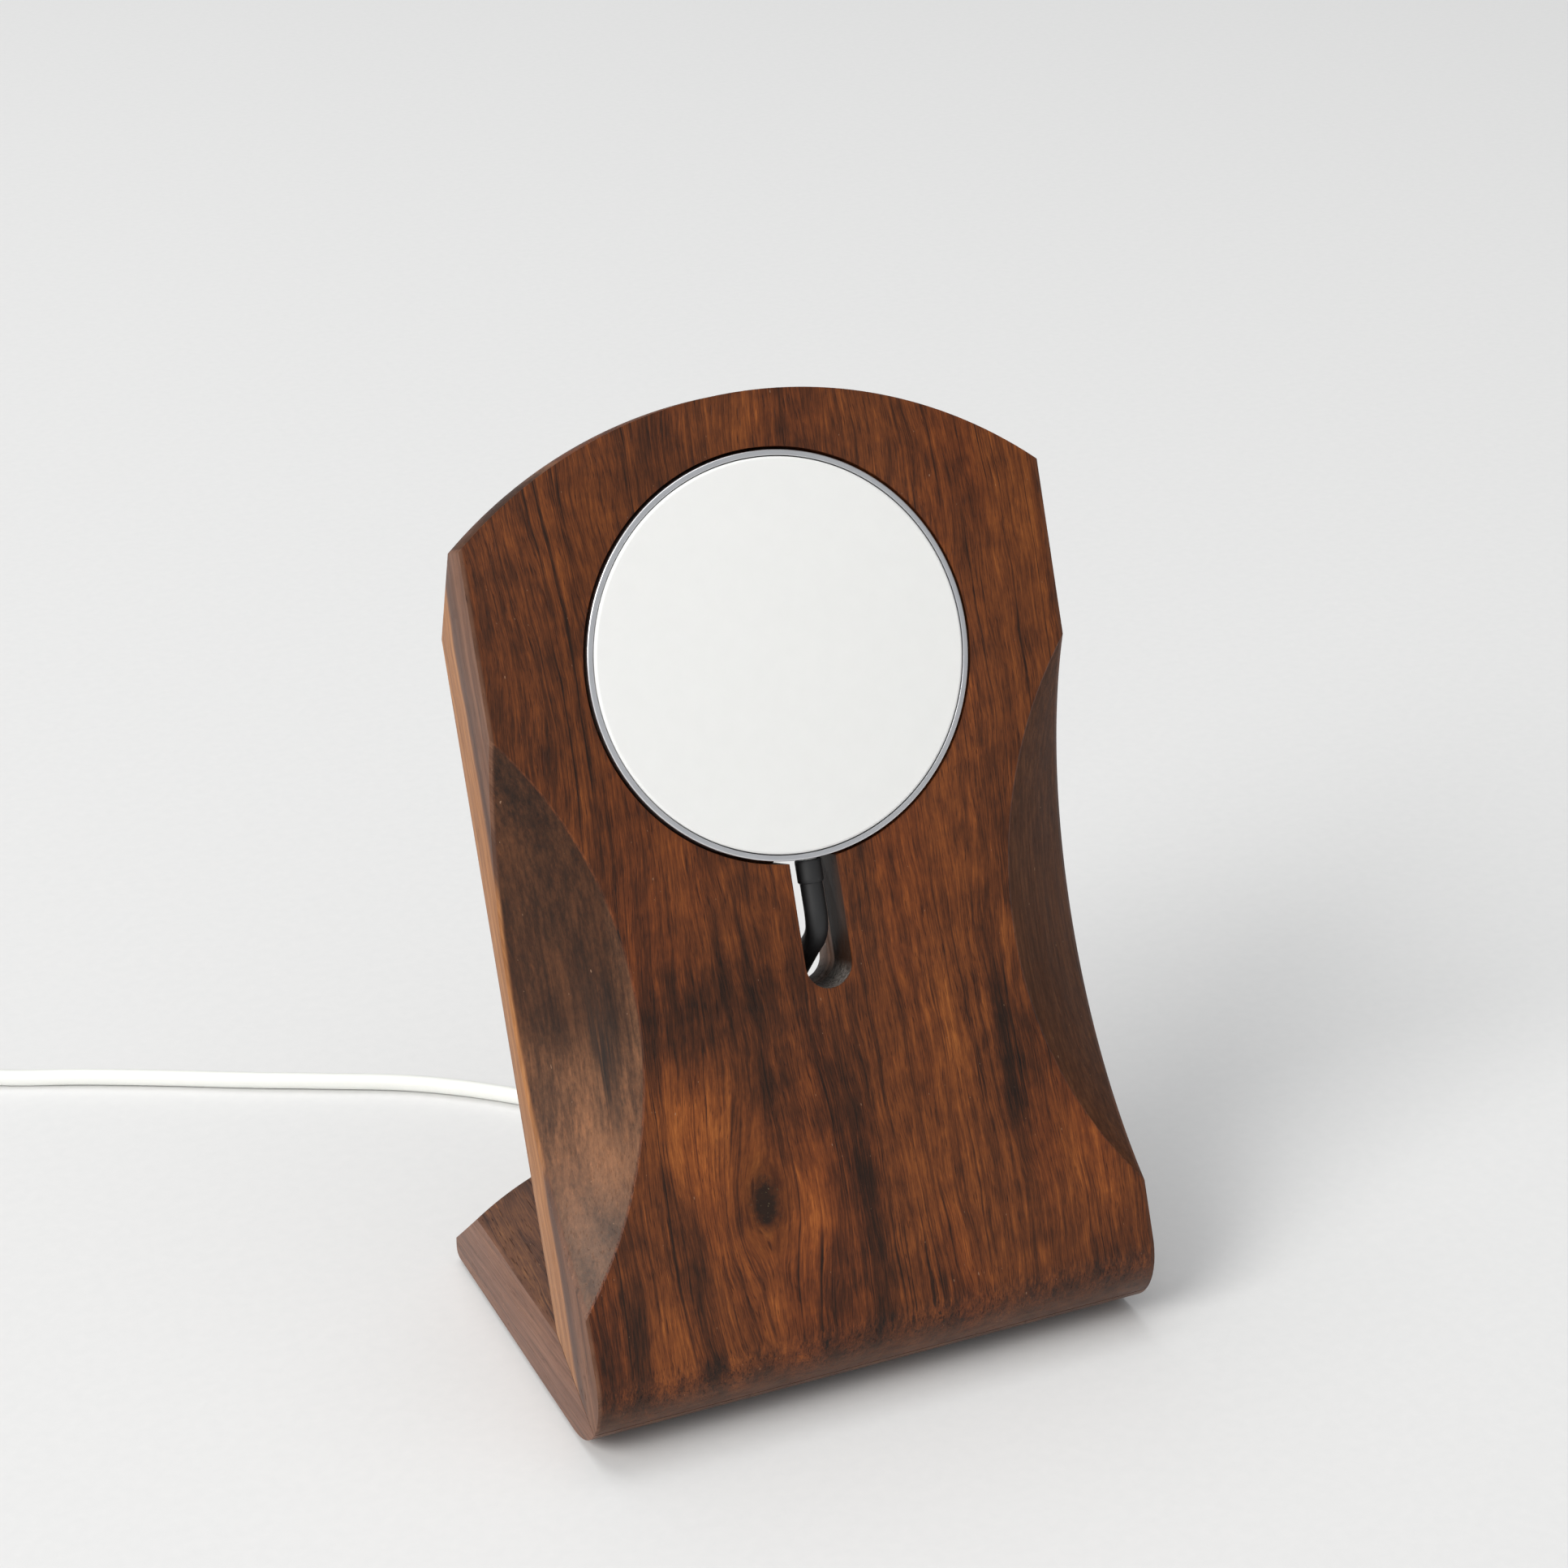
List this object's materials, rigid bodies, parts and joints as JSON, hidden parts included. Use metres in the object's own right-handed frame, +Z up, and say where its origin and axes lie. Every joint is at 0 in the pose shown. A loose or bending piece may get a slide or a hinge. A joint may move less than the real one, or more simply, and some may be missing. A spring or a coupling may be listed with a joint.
{
  "type": "phone charging stand",
  "caption": "Leaning walnut phone stand: a scooped panel mitred to a flat base, with a magnetic charging disc let into the panel and its cable led out through a slot.",
  "frame": {"origin": "on the desk surface, at the centre of the non-slip pad's underside, on the stand's centre plane", "axes": "+Z up; +Y away from the user, the way the panel leans; +X to the user's right when the phone faces them"},
  "size_m": [0.1761, 0.1584, 0.1329],
  "materials": {
    "walnut": "oiled satin, grain along the panel and along the base",
    "spline_wood": "plain, glued",
    "charger_metal": "bead-blasted, anodised",
    "charger_face": "soft white",
    "magnet": "nickel plated",
    "steel": "bright",
    "circuit_board": "solder mask",
    "ferrite": "sintered, matte",
    "coil": "enamelled copper",
    "adhesive": "foam tape",
    "cable": "smooth soft jacket",
    "sleeve": "matte",
    "plug_white": "satin",
    "contact_block": "moulded",
    "grip": "matte silicone"
  },
  "bodies": {
    "root": {"adhesive_pad": "adhesive", "base_plate": "walnut", "cable_sleeve": "sleeve", "charge_coil": "coil", "charger_face": "charger_face", "charger_shell": "charger_metal", "charging_cable": "cable", "circuit_board": "circuit_board", "ferrite_disc": "ferrite", "front_panel": "walnut", "grip_pad": "grip", "magnet_01": "magnet", "magnet_02": "magnet", "magnet_03": "magnet", "magnet_04": "magnet", "magnet_05": "magnet", "magnet_06": "magnet", "magnet_07": "magnet", "magnet_08": "magnet", "magnet_09": "magnet", "magnet_10": "magnet", "magnet_11": "magnet", "magnet_12": "magnet", "magnet_13": "magnet", "magnet_14": "magnet", "magnet_15": "magnet", "magnet_16": "magnet", "magnet_shield": "steel", "mitre_spline": "spline_wood", "plug_body": "plug_white", "plug_contact_block": "contact_block", "plug_shell": "steel", "plug_strain_relief": "plug_white"}
  },
  "joints": []
}
